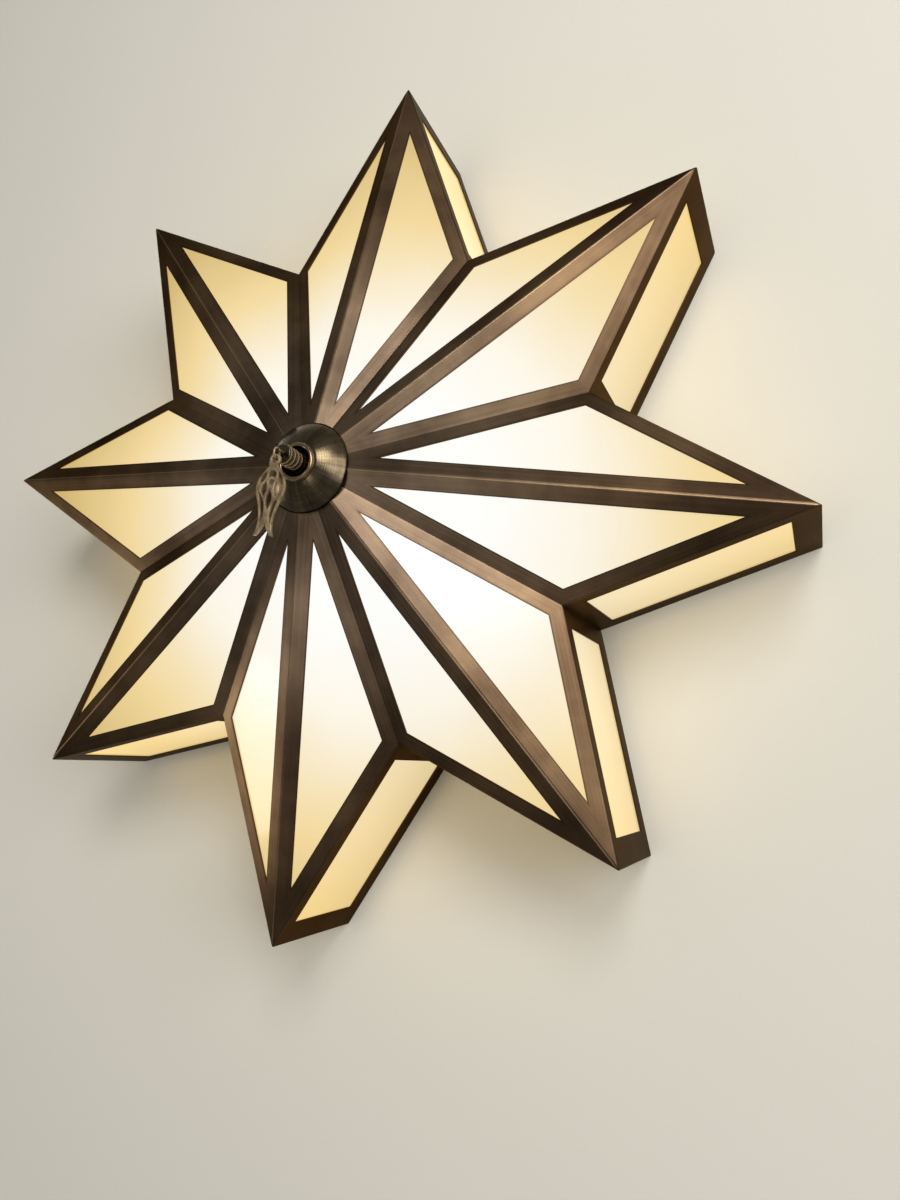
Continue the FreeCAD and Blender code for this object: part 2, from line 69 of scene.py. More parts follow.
ARMS = 8
LAMPS = 4
SIDES = ("left", "right")
MILLIMETRE = 0.001
MERGE_DISTANCE = 1e-6
ROOM = Vector((0.0, -1.0, 0.0))
UP = Vector((0.0, 0.0, 1.0))

# How far the finial's eye is sunk into its end
EYE_SINK = 1.2 * MILLIMETRE

# The photo's height and the camera's focal length, in pixels
PICTURE_HEIGHT = 1200
FOCAL_PIXELS = 898.72

# The middle of the panes' glow, a little right of and below the star's axis
GLOW_MIDDLE = Vector((0.04, 0.0, -0.02))

# Offsets along the strips' map that give every strip a grain of its own
STRIP_LANE = 0.37
SIDE_LANE = 3.3
ARM_LANE = 7.1


def node_top(name):
    """The height of a CAD node's highest point above the wall."""
    return -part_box(name)[0].y


def node_reach(name):
    """How far a CAD node reaches from the star's axis towards +X."""
    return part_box(name)[1].x


# Settings

def length(name, description, default):
    """A size in metres that a user may change."""
    return FloatProperty(name=name, description=description, default=default, min=0.0, unit="LENGTH")


def colour(name, description, default):
    """A linear colour that a user may change."""
    return FloatVectorProperty(name=name, description=description, default=default, size=3,
                               subtype="COLOR", min=0.0, max=1.0)


def strength(name, description, default):
    """How strongly a piece or the surroundings shine."""
    return FloatProperty(name=name, description=description, default=default, min=0.0)


def power(name, description, default):
    """The power of a lamp in watts."""
    return FloatProperty(name=name, description=description, default=default, min=0.0, subtype="POWER")


class StarSizes(bpy.types.PropertyGroup):
    """Sizes of the folded star and of the pieces that are modelled anew"""
    tip_radius: length("Tip radius", "From the axis to the point of an arm", CAD_BOX[1].z)
    notch_radius: length("Notch radius", "From the axis to the corner between two arms", 0.175)
    wall_height: length("Wall height", "Height of the side walls off the wall", 0.100)
    apex_height: length("Apex height", "Height of the point where the ridges would meet", 0.154)
    hub_hole: length("Hub hole", "Radius of the hole under the cap", 0.008)
    sheet: length("Sheet", "Thickness of the brass sheet", 0.001)
    fold: length("Fold radius", "Rounding of the folds", 0.0011)
    ridge_strip: length("Ridge strip", "Sheet left beside a ridge", 0.010)
    edge_strip: length("Edge strip", "Sheet left along a front edge", 0.0095)
    valley_strip: length("Valley strip", "Sheet left beside a valley", 0.009)
    side_tip_strip: length("Side tip strip", "Sheet left at the point of a side wall", 0.0175)
    side_base_strip: length("Side base strip", "Sheet left along the wall", 0.0145)
    side_notch_strip: length("Side notch strip", "Sheet left at the notch", 0.012)
    side_front_strip: length("Side front strip", "Sheet left along the front edge", 0.0105)
    cap_sheet: length("Cap sheet", "Thickness of the spun cap", 0.0008)
    cap_bead: length("Cap bead", "Radius of the rolled bead", 0.0014)
    cap_bulge: length("Cap bulge", "How far the cap's wall swells", 0.0012)
    cap_mouth: length("Cap mouth", "Radius of the cap's mouth", 0.0109)
    finial_seat: length("Finial seat", "Height of the finial nut's foot", 0.154)
    finial_flange: length("Finial flange", "Thickness of the finial nut's flange", 0.003)
    finial_radius: length("Finial radius", "Radius over the rings of the finial nut", 0.0064)
    finial_groove: length("Finial groove", "Depth of the grooves between the rings", 0.0009)
    finial_bore: length("Finial bore", "Radius of the finial nut's bore", 0.00506)
    finial_depth: length("Finial bore depth", "Depth of the finial nut's bore", 0.016)
    finial_rings: IntProperty(name="Finial rings", description="Rings on the finial nut", default=5, min=1)
    eye_radius: length("Eye radius", "Radius of the eye on the finial nut", 0.003)
    eye_wire: length("Eye wire", "Radius of the eye's wire", 0.0008)
    drop_round: length("Drop rounding", "Rounding of the cast drop's edges", 0.00032)
    bulb_skirt_gap: length("Bulb skirt gap", "From a holder's rim to the skirt of its bulb", 0.001)
    bulb_thread: length("Bulb thread", "Pitch of the thread on a bulb's cap", 0.0028)
    spin_steps: IntProperty(name="Spin steps", description="Facets round a spun piece", default=128, min=16)


class StarColours(bpy.types.PropertyGroup):
    """Colours of the finishes and strength of the glow"""
    # The dark patina colour is also mixed in as painted shade at the tips and on the side walls.
    brass_dark: colour("Brass, dark", "Patina in the grain", (0.062, 0.036, 0.021))
    brass_mid: colour("Brass, middle", "Rubbed patina", (0.28, 0.175, 0.090))
    # The two hub colours below are painted light: paler copies of the patina, about half as bright again, for
    # the sheet near the hub.
    lit_hub_dark: colour("Brass at the hub, dark", "Grain of the sheet around the cap", (0.095, 0.064, 0.042))
    lit_hub_mid: colour("Brass at the hub, middle", "Paler patina around the cap", (0.38, 0.265, 0.17))
    brass_edge: colour("Brass, edge on", "Tint of the patina seen at a slant", (0.44, 0.42, 0.39))
    brass_worn: colour("Brass, worn", "Bare metal along the ridges", (0.62, 0.43, 0.25))
    cap_brass: colour("Cap brass", "Dark polished patina", (0.25, 0.185, 0.10))
    cap_dark: colour("Cap patina", "Patina left by the lathe", (0.058, 0.046, 0.032))
    cap_rubbed: colour("Cap, rubbed", "Bead and rings rubbed pale", (0.46, 0.34, 0.19))
    drop_brass: colour("Drop brass", "Rubbed cast brass", (0.66, 0.50, 0.29))
    drop_dark: colour("Drop recesses", "Patina left in the recesses", (0.32, 0.22, 0.115))
    glass_hub: colour("Glass at the hub", "Glow over the bulbs", (1.0, 1.0, 0.975))
    glass_near: colour("Glass near the hub", "Glow a third of the way out", (0.985, 0.93, 0.81))
    glass_mid: colour("Glass half way", "Glow half way out", (0.92, 0.755, 0.45))
    glass_far: colour("Glass far out", "Glow two thirds of the way out", (0.885, 0.675, 0.31))
    glass_tip: colour("Glass at the tips", "Glow far from the bulbs", (0.64, 0.45, 0.155))
    side_near: colour("Side glass, near", "Glow of the side panes at the notches", (0.90, 0.755, 0.49))
    side_far: colour("Side glass, far", "Glow of the side panes at the points", (0.91, 0.64, 0.22))
    side_deep: colour("Side glass, deep", "Glow of the side panes at the wall", (0.69, 0.52, 0.22))
    front_body: colour("Front glass body", "Front panes without their glow", (0.08, 0.075, 0.06))
    side_body: colour("Side glass body", "Side panes without their glow", (0.08, 0.07, 0.05))
    bulb_body: colour("Bulb body", "Bulbs without their glow", (0.7, 0.68, 0.62))
    bulb_pale: colour("Bulb, pale", "Palest glow of the bulbs", (1.0, 0.95, 0.84))
    bulb_warm: colour("Bulb, warm", "Warmest glow of the bulbs", (1.0, 0.91, 0.74))
    front_glow: strength("Front glow", "Strength of the glow of the front panes", 0.94)
    side_glow: strength("Side glow", "Strength of the glow of the side panes", 0.9)
    bulb_glow: strength("Bulb glow", "Strength of the glow of the bulbs", 0.9)
    steel: colour("Zinc steel", "Pan, bracket and nuts", (0.60, 0.60, 0.58))
    rod_brass: colour("Rod brass", "Threaded rod", (0.60, 0.45, 0.20))
    rubber: colour("Rubber", "Cable grommet", (0.022, 0.022, 0.022))
    holder: colour("Holder", "Lampholders", (0.035, 0.034, 0.032))
    block: colour("Block", "Terminal block", (0.78, 0.77, 0.72))
    wall: colour("Wall", "Pale wall and floor", (0.95, 0.91, 0.795))


class StarStage(bpy.types.PropertyGroup):
    """Camera and studio light"""
    camera_place: FloatVectorProperty(name="Camera", description="Where the camera stands", size=3,
                                      default=(0.31217, -0.61168, -0.14363), subtype="TRANSLATION")
    camera_aim: FloatVectorProperty(name="Aim", description="Point at the middle of the picture", size=3,
                                    default=(0.08847, -0.1, -0.06894), subtype="TRANSLATION")
    camera_roll: FloatProperty(name="Roll", description="Turn of the camera about its view",
                               default=math.radians(7.99), subtype="ANGLE")
    focal_share: FloatProperty(name="Focal share", description="Focal length over picture height",
                               default=FOCAL_PIXELS / PICTURE_HEIGHT)
    world_colour: colour("World colour", "Colour of the even light", (1.0, 0.985, 0.96))
    world_light: strength("World", "Strength of the even light", 0.19)
    key_power: power("Key", "Power of the key lamp", 14.0)
    side_power: power("Side", "Power of the broad lamp at the right", 21.0)
    low_power: power("Low", "Power of the weak lamp below", 2.2)
    accent_power: power("Accent", "Power of the small lamp at the left", 0.45)
    back_power: power("Back", "Power of the lamp behind the wall", 16.0)
    backdrop: length("Backdrop", "Half the width of the wall and of the floor", 12.0)
    floor_drop: length("Floor drop", "How far the floor lies below the star's axis", 1.3)


# Shader maths

def rgba(shade):
    """A colour with full cover."""
    return (*shade, 1.0)


class Value:
    """A socket of a material, so that shader maths reads as plain expressions."""

    def __init__(self, paint, socket):
        self.paint = paint
        self.socket = socket

    def maths(self, operation, first, second):
        return self.paint.node("ShaderNodeMath", {"operation": operation}, {0: first, 1: second})

    def __add__(self, other):
        return self.maths("ADD", self, other)

    def __radd__(self, other):
        return self.maths("ADD", other, self)

    def __sub__(self, other):
        return self.maths("SUBTRACT", self, other)

    def __rsub__(self, other):
        return self.maths("SUBTRACT", other, self)

    def __mul__(self, other):
        return self.maths("MULTIPLY", self, other)

    def __rmul__(self, other):
        return self.maths("MULTIPLY", other, self)


class Paint:
    """One node material under construction."""

    def __init__(self, name):
        self.material = bpy.data.materials.new(name)
        self.material.use_nodes = True
        self.tree = self.material.node_tree
        self.tree.nodes.clear()

    def node(self, kind, settings=None, inputs=None, out=0):
        """Adds a node: its settings first, then the values or links of its sockets."""
        node = self.tree.nodes.new(kind)
        for key, value in (settings or {}).items():
            if key == "stops":
                self.set_stops(node.color_ramp, value)
            else:
                setattr(node, key, value)
        for key, value in (inputs or {}).items():
            if isinstance(value, Value):
                self.tree.links.new(value.socket, node.inputs[key])
            else:
                node.inputs[key].default_value = value
        return Value(self, node.outputs[out]) if node.outputs else None

    @staticmethod
    def set_stops(ramp, stops):
        """Gives a ramp its places and colours."""
        while len(ramp.elements) < len(stops):
            ramp.elements.new(0.5)
        for element, (place, shade) in zip(ramp.elements, stops):
            element.position = place
            element.color = rgba(shade)

    def place(self):
        """Where a point of the piece lies, in the shared frame."""
        return self.node("ShaderNodeTexCoord", out="Object")

    def mapped(self, vector, scale=(1, 1, 1), location=(0, 0, 0)):
        return self.node("ShaderNodeMapping", None, {"Vector": vector, "Scale": scale, "Location": location})

    def noise(self, vector, scale, detail=2.0, roughness=0.5):
        return self.node("ShaderNodeTexNoise", None,
                         {"Vector": vector, "Scale": scale, "Detail": detail, "Roughness": roughness})

    def between(self, value, low, high):
        """0 below low, 1 above high, with a smooth step between them."""
        return self.node("ShaderNodeMapRange", {"interpolation_type": "SMOOTHSTEP"},
                         {"Value": value, "From Min": low, "From Max": high})

    def flat(self, place):
        """A place with its depth taken out, so that it lies in the plane of the wall."""
        return self.node("ShaderNodeVectorMath", {"operation": "MULTIPLY"}, {0: place, 1: (1, 0, 1)})

    def size(self, vector):
        return self.node("ShaderNodeVectorMath", {"operation": "LENGTH"}, {0: vector}, out="Value")

    def second(self, vector):
        """The second part of a vector: the depth of a place, or the height in a map."""
        return self.node("ShaderNodeSeparateXYZ", None, {0: vector}, out="Y")

    def wave(self, value, pitch):
        """A sine wave of this pitch."""
        return self.node("ShaderNodeMath", {"operation": "SINE"}, {0: value * (2 * math.pi / pitch)})

    def share(self, value, low, high):
        """0 at low, 1 at high and even in between."""
        return self.node("ShaderNodeMapRange", None, {"Value": value, "From Min": low, "From Max": high})

    def mix(self, factor, first, second):
        """From the first colour at 0 to the second at 1."""
        first = first if isinstance(first, Value) else rgba(first)
        second = second if isinstance(second, Value) else rgba(second)
        return self.node("ShaderNodeMix", {"data_type": "RGBA"}, {0: factor, 6: first, 7: second}, out=2)

    def bump(self, height, distance, strength=1.0):
        return self.node("ShaderNodeBump", None,
                         {"Height": height, "Distance": distance, "Strength": strength})

    def surface(self, **inputs):
        """The finished surface, from the sockets of a Principled shader."""
        sockets = {key.replace("_", " "): value for key, value in inputs.items()}
        shader = self.node("ShaderNodeBsdfPrincipled", None, sockets)
        self.node("ShaderNodeOutputMaterial", None, {"Surface": shader})
        return self.material


# Finishes

def brushed_brass(colours, ridge_width, wall_height):
    """Antique brass sheet, brushed along each strip and rubbed on the ridges, dark beside the glass, with
    painted light that makes it paler near the hub and painted shade that darkens it at the tips and on the
    side walls."""
    paint = Paint("brushed_brass")
    strip = paint.node("ShaderNodeUVMap", {"uv_map": "strip"})
    from_glass = paint.second(strip)
    ridge = paint.node("ShaderNodeAttribute", {"attribute_name": "ridge"}, out="Fac")
    grain = paint.noise(paint.mapped(strip, (12, 1500, 1)), 1.0, 2.0, 0.6)
    streaks = paint.noise(paint.mapped(strip, (4, 560, 1)), 1.0, 2.0)
    place = paint.place()
    clouds = paint.noise(place, 13.0, 4.0, 0.6)
    reach = paint.size(paint.flat(place))
    # Painted light: the sheet is painted paler towards the hub.
    hub_light = paint.between(reach, 0.21, 0.06)
    tip_shade = paint.between(reach, 0.20, 0.29)
    rubbed = paint.between(streaks * 0.13 + grain * 0.08 + clouds * 0.6, 0.23, 0.66)
    dark = paint.mix(hub_light, colours.brass_dark, colours.lit_hub_dark)
    middle = paint.mix(hub_light, colours.brass_mid, colours.lit_hub_mid)
    # Painted shade: the sheet is darkened towards the points of the arms.
    shade = paint.mix(tip_shade * 0.4, paint.mix(rubbed, dark, middle), colours.brass_dark)
    depth = paint.second(place)
    # Painted shade: the side walls are darkened against the front facets.
    side_wall_shade = paint.between(depth, -wall_height - 0.5 * MILLIMETRE, -wall_height + MILLIMETRE)
    shade = paint.mix(side_wall_shade * 0.6, shade, colours.brass_dark)
    outline = paint.between(from_glass, 1.2 * MILLIMETRE, 0.3 * MILLIMETRE)
    shade = paint.mix(outline * 0.7, shade, colours.brass_dark)
    worn_from, worn_to = ridge_width - 0.1 * MILLIMETRE, ridge_width + 0.6 * MILLIMETRE
    worn = ridge * paint.between(from_glass + clouds * (1.2 * MILLIMETRE), worn_from, worn_to)
    shade = paint.mix(worn * 0.5, shade, colours.brass_worn)
    return paint.surface(Base_Color=shade, Metallic=1.0, Roughness=0.29 + grain * 0.08 + clouds * 0.06,
                         Specular_Tint=rgba(colours.brass_edge), Normal=paint.bump(grain, 0.00003, 0.22))


def plain_brass(name, light, dark, roughness, metallic=1.0):
    """Brass without a brushed direction, darker where the patina stays."""
    paint = Paint(name)
    place = paint.place()
    clouds = paint.noise(place, 160.0, 4.0, 0.6)
    fine = paint.noise(place, 1400.0, 2.0)
    shade = paint.mix(paint.between(clouds + fine * 0.3, 0.45, 0.85), light, dark)
    return paint.surface(Base_Color=shade, Metallic=metallic, Roughness=roughness + clouds * 0.12,
                         Normal=paint.bump(fine, 0.00004, 0.5))


def lathe_brass(name, colours, rubbed_from, rubbed_to):
    """Dark polished brass with the rings of the lathe and soft streaks of painted highlight that run up a
    spun wall, rubbed pale between two radii."""
    paint = Paint(name)
    place = paint.place()
    flat = paint.flat(place)
    radius = paint.size(flat)
    heading = paint.node("ShaderNodeVectorMath", {"operation": "NORMALIZE"}, {0: flat})
    depth = paint.second(place)
    rings = paint.node("ShaderNodeTexNoise", {"noise_dimensions": "1D"},
                       {"W": radius * 1500.0 + depth * 1100.0, "Scale": 1.0, "Detail": 2.0})
    # Painted highlight: soft streaks that fan out from the axis, where a spun wall would catch the light.
    highlight_rays = paint.noise(heading, 5.0, 4.0, 0.7)
    clouds = paint.noise(place, 90.0, 3.0)
    tone = paint.mix(paint.between(rings * 0.3 + clouds * 0.3 + highlight_rays * 0.4, 0.38, 0.68), colours.cap_dark,
                     colours.cap_brass)
    soft = 0.3 * MILLIMETRE
    rubbed = (paint.between(radius, rubbed_from - soft, rubbed_from)
              * paint.between(radius, rubbed_to + soft, rubbed_to))
    tone = paint.mix(rubbed * 0.7, tone, colours.cap_rubbed)
    return paint.surface(Base_Color=tone, Metallic=1.0, Roughness=0.13 + rings * 0.12 + highlight_rays * 0.1,
                         Normal=paint.bump(rings, 0.00003, 0.5))


def glow_reach(paint, place):
    """Distance from the middle of the glow in the plane of the wall, made a little uneven."""
    shifted = paint.mapped(place, (1, 0, 1), -GLOW_MIDDLE)
    return paint.size(shifted) + paint.noise(place, 22.0, 2.0) * 0.02


def opal_front(colours):
    """Opal glass lit from behind: near white at the hub, warm yellow towards the points."""
    paint = Paint("opal_front")
    along = paint.share(glow_reach(paint, paint.place()), 0.04, 0.31)
    glow = paint.node("ShaderNodeValToRGB", {"stops": [
        (0.15, colours.glass_hub), (0.36, colours.glass_near), (0.56, colours.glass_mid),
        (0.67, colours.glass_far), (0.96, colours.glass_tip)]}, {"Fac": along})
    return paint.surface(Base_Color=rgba(colours.front_body), Roughness=0.10, Specular_IOR_Level=0.16,
                         Emission_Color=glow, Emission_Strength=colours.front_glow)


def opal_side(colours, wall_height):
    """The side panes, farther from the bulbs and yellower, a little dimmer towards the wall."""
    paint = Paint("opal_side")
    place = paint.place()
    along = paint.share(glow_reach(paint, place), 0.15, 0.28)
    depth = paint.second(place)
    glow = paint.mix(along, colours.side_near, colours.side_far)
    near_wall = paint.between(depth, -0.85 * wall_height, -0.1 * wall_height)
    glow = paint.mix(near_wall * 0.5, glow, colours.side_deep)
    return paint.surface(Base_Color=rgba(colours.side_body), Roughness=0.12, Specular_IOR_Level=0.16,
                         Emission_Color=glow, Emission_Strength=colours.side_glow)


def zinc_steel(colours):
    """Zinc-plated sheet with a rolled grain and a faint spangle."""
    paint = Paint("zinc_steel")
    place = paint.place()
    rolled = paint.noise(paint.mapped(place, (900, 900, 30)), 1.0, 2.0)
    spangle = paint.node("ShaderNodeTexVoronoi", None, {"Vector": place, "Scale": 220.0}, out="Color")
    grey = paint.node("ShaderNodeSeparateColor", None, {0: spangle})
    dull = [0.72 * part for part in colours.steel]
    shade = paint.mix(rolled * 0.5 + grey * 0.5, dull, colours.steel)
    return paint.surface(Base_Color=shade, Metallic=1.0, Roughness=0.30 + grey * 0.16,
                         Normal=paint.bump(rolled, 0.00003, 0.4))


def threaded_brass(colours):
    """The rod: a ridge every millimetre along its length."""
    paint = Paint("threaded_brass")
    place = paint.place()
    depth = paint.second(place)
    crest = paint.wave(depth, MILLIMETRE) * 0.5 + 0.5
    dull = [0.4 * part for part in colours.rod_brass]
    return paint.surface(Base_Color=paint.mix(crest, dull, colours.rod_brass), Metallic=1.0, Roughness=0.34,
                         Normal=paint.bump(crest, 0.0003, 0.8))


def moulded(name, shade, roughness):
    """Moulded plastic or rubber with a fine eggshell."""
    paint = Paint(name)
    place = paint.place()
    eggshell = paint.noise(place, 900.0, 2.0)
    clouds = paint.noise(place, 60.0, 3.0)
    pale = [min(1.0, 1.25 * part) for part in shade]
    return paint.surface(Base_Color=paint.mix(clouds, shade, pale), Roughness=roughness + eggshell * 0.12,
                         Normal=paint.bump(eggshell, 0.00005, 0.5))


def bulb_globe(colours, cap_end, thread_pitch):
    """A lit diffusing globe on a plated screw cap, which ends this far from the star's axis."""
    paint = Paint("bulb_globe")
    place = paint.place()
    reach = paint.size(paint.flat(place))
    on_globe = paint.between(reach, cap_end, cap_end + 0.4 * MILLIMETRE)
    glow = paint.mix(paint.noise(place, 40.0, 2.0), colours.bulb_pale, colours.bulb_warm)
    thread = paint.wave(reach, thread_pitch) * (1.0 - on_globe)
    shine = paint.mix(on_globe, (0, 0, 0), glow)
    return paint.surface(Base_Color=paint.mix(on_globe, colours.steel, colours.bulb_body),
                         Metallic=1.0 - on_globe, Roughness=0.3,
                         Emission_Color=shine, Emission_Strength=colours.bulb_glow,
                         Normal=paint.bump(thread, 0.0004, 0.7))


# Mesh helpers

def add_object(name, data):
    """Links a new object to the scene."""
    item = bpy.data.objects.new(name, data)
    bpy.context.scene.collection.objects.link(item)
    return item


def add_mesh(name, bm, material):
    """Turns a bmesh into an object with one material."""
    mesh = bpy.data.meshes.new(name)
    bm.to_mesh(mesh)
    bm.free()
    mesh.materials.append(material)
    return add_object(name, mesh)


def new_piece(name, bm, material, body, replaced):
    """Turns a bmesh into a finished piece that rides on a body and stands for CAD nodes."""
    piece = add_mesh(name, bm, material)
    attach(piece, body)
    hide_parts(*replaced)
    return piece


def dress(names, material):
    """Gives CAD nodes a finish."""
    for name in names:
        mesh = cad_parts[name].data
        mesh.materials.clear()
        mesh.materials.append(material)


def place_at(radius, angle, height):
    """The point at a radius and an angle from +X towards +Z, this high above the wall."""
    return Vector((radius * math.cos(angle), -height, radius * math.sin(angle)))


def inset(corners, widths):
    """A flat outline with each side moved in by its own width."""
    middle = sum(corners, Vector()) / len(corners)
    normal = (corners[1] - corners[0]).cross(corners[2] - corners[0]).normalized()
    lines = []
    for start, end, width in zip(corners, corners[1:] + corners[:1], widths):
        inward = normal.cross(end - start).normalized()
        if inward.dot(middle - start) < 0:
            inward = -inward
        lines.append((start + inward * width, end + inward * width))
    return [intersect_line_line(*lines[i - 1], *lines[i])[0] for i in range(len(lines))]


def point_outwards(bm):
    """Turns the faces outwards and shades them smooth."""
    bmesh.ops.recalc_face_normals(bm, faces=bm.faces)
    for face in bm.faces:
        face.smooth = True


def round_edges(bm, edges, radius, clamped):
    """Rounds edges with three facets."""
    bmesh.ops.bevel(bm, geom=edges, offset=radius, offset_type="OFFSET", affect="EDGES", segments=3,
                    profile=0.5, material=-1, clamp_overlap=clamped)


def spun(profile, steps):
    """A closed (radius, height) outline spun about the star's axis."""
    bm = bmesh.new()
    ring = [bm.verts.new(place_at(radius, 0.0, height)) for radius, height in profile]
    edges = [bm.edges.new((a, b)) for a, b in zip(ring, ring[1:] + ring[:1])]
    bmesh.ops.spin(bm, geom=ring + edges, cent=(0, 0, 0), axis=ROOM, angle=2 * math.pi, steps=steps,
                   use_merge=True)
    bmesh.ops.remove_doubles(bm, verts=bm.verts, dist=MERGE_DISTANCE)
    point_outwards(bm)
    return bm


def arc_points(start, end, bulge, steps):
    """Points from start to end on a shallow arc that swells by bulge to the outside."""
    start, end = Vector(start), Vector(end)
    chord = end - start
    outside = Vector((-chord.y, chord.x)).normalized()
    if outside.x < 0:
        outside = -outside
    points = []
    for i in range(steps + 1):
        share = i / steps
        points.append(start + chord * share + outside * (bulge * 4 * share * (1 - share)))
    return points


# Pieces

class StarOperator(bpy.types.Operator):
    """What the operators of this add-on share"""
    bl_options = {"REGISTER", "UNDO"}

    @property
    def sizes(self):
        return bpy.context.scene.star_sizes

    @property
    def colours(self):
        return bpy.context.scene.star_colours


class STAR_OT_arms(StarOperator):
    """Fold the eight arms from strips of brushed sheet"""
    bl_idname = "star_light.arms"
    bl_label = "Fold the arms"

    def strip(self, bm, layers, corners, lane, on_ridge):
        """One strip between a fold and a window; its map counts metres along it and up from the window."""
        uv, ridge = layers
        face = bm.faces.new([bm.verts.new(corner) for corner in corners])
        face.normal_update()
        face[ridge] = 1.0 if on_ridge else 0.0
        start = corners[0]
        along = (corners[1] - start).normalized()
        across = face.normal.cross(along)
        width = max(abs((corner - start).dot(across)) for corner in corners)
        for loop in face.loops:
            offset = loop.vert.co - start
            loop[uv].uv = (offset.dot(along) + lane, width - abs(offset.dot(across)))

    def half(self, bm, layers, side, lane):
        """The front facet and the side wall on one side of the ridge."""
        sizes = self.sizes
        half_step = side * math.pi / ARMS
        apex = place_at(0.0, 0.0, sizes.apex_height)
        tip = place_at(sizes.tip_radius, 0.0, sizes.wall_height)
        notch = place_at(sizes.notch_radius, half_step, sizes.wall_height)
        ridge_end = apex.lerp(tip, sizes.hub_hole / sizes.tip_radius)
        valley_end = apex.lerp(notch, sizes.hub_hole / sizes.notch_radius)
        hub, point, corner = inset([apex, tip, notch],
                                   [sizes.ridge_strip, sizes.edge_strip, sizes.valley_strip])
        tip_foot = place_at(sizes.tip_radius, 0.0, 0.0)
        notch_foot = place_at(sizes.notch_radius, half_step, 0.0)
        side_window = inset([tip, tip_foot, notch_foot, notch],
                            [sizes.side_tip_strip, sizes.side_base_strip, sizes.side_notch_strip,
                             sizes.side_front_strip])
        front_tip, foot_tip, foot_notch, front_notch = side_window
        strips = [
            (ridge_end, tip, point, hub), (tip, notch, corner, point), (notch, valley_end, hub, corner),
            (valley_end, ridge_end, hub),
            (tip, tip_foot, foot_tip, front_tip), (tip_foot, notch_foot, foot_notch, foot_tip),
            (notch_foot, notch, front_notch, foot_notch), (notch, tip, front_tip, front_notch),
        ]
        for number, corners in enumerate(strips):
            self.strip(bm, layers, corners, lane + number * STRIP_LANE, number == 0)

    def execute(self, context):
        sizes = self.sizes
        brass = brushed_brass(self.colours, sizes.ridge_strip, sizes.wall_height)
        for number in range(1, ARMS + 1):
            bm = bmesh.new()
            layers = (bm.loops.layers.uv.new("strip"), bm.faces.layers.float.new("ridge"))
            for side in (1, -1):
                self.half(bm, layers, side, number * ARM_LANE + side * SIDE_LANE)
            bmesh.ops.remove_doubles(bm, verts=bm.verts, dist=MERGE_DISTANCE)
            bmesh.ops.recalc_face_normals(bm, faces=bm.faces)
            ridge = max(bm.faces, key=lambda face: -face.calc_center_median().y)
            if ridge.normal.dot(ROOM) < 0:
                bmesh.ops.reverse_faces(bm, faces=bm.faces)
            folds = [edge for edge in bm.edges if edge.calc_face_angle(0.0) > math.radians(3)]
            round_edges(bm, folds, sizes.fold, False)
            angle = math.pi / 2 - 2 * math.pi / ARMS * (number - 1)
            bmesh.ops.rotate(bm, verts=bm.verts, cent=(0, 0, 0), matrix=Matrix.Rotation(angle, 3, ROOM))
            piece = new_piece("folded_arm_%d" % number, bm, brass, "shade",
                              ["star_arm_%d" % number])
            wall = piece.modifiers.new("sheet", "SOLIDIFY")
            wall.thickness = sizes.sheet
            wall.offset = -1.0
            wall.use_even_offset = True
            wall.use_quality_normals = True
        return {"FINISHED"}


class STAR_OT_glass(StarOperator):
    """Give the panes their lit opal glass and their clips a brass finish"""
    bl_idname = "star_light.glass"
    bl_label = "Light the panes"

    def execute(self, context):
        numbers = range(1, ARMS + 1)
        front = opal_front(self.colours)
        dress(["front_pane_%d_%s" % (n, side) for n in numbers for side in SIDES], front)
        flank = opal_side(self.colours, self.sizes.wall_height)
        dress(["side_pane_%d_%s" % (n, side) for n in numbers for side in SIDES], flank)
        clip_brass = plain_brass("clip_brass", self.colours.brass_mid, self.colours.brass_dark, 0.35)
        dress(["pane_clips", "hub_collar"], clip_brass)
        return {"FINISHED"}


class STAR_OT_cap(StarOperator):
    """Spin the cap with its rolled bead"""
    bl_idname = "star_light.cap"
    bl_label = "Spin the cap"

    def execute(self, context):
        sizes = self.sizes
        foot = -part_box("cap")[1].y
        top = node_top("cap") - sizes.cap_bead
        radius = node_reach("cap")
        mouth = sizes.cap_mouth
        half = sizes.cap_sheet / 2
        wall_steps = 14
        outer = arc_points((radius, foot), (mouth + half, top), sizes.cap_bulge, wall_steps)
        inner = arc_points((radius - sizes.cap_sheet, foot), (mouth - half, top), sizes.cap_bulge, wall_steps)
        bead_start, bead_sweep, bead_steps = -70, 320, 16
        bead = []
        for i in range(1, bead_steps):
            turn = math.radians(bead_start + bead_sweep * i / bead_steps)
            spoke = Vector((math.cos(turn), math.sin(turn)))
            bead.append(Vector((mouth, top)) + sizes.cap_bead * spoke)
        profile = outer[:-1] + bead + list(reversed(inner[:-1]))
        bm = spun(profile, sizes.spin_steps)
        brass = lathe_brass("cap_brass", self.colours, mouth - sizes.cap_bead, mouth + sizes.cap_bead)
        new_piece("spun_cap", bm, brass, "shade", ["cap"])
        return {"FINISHED"}


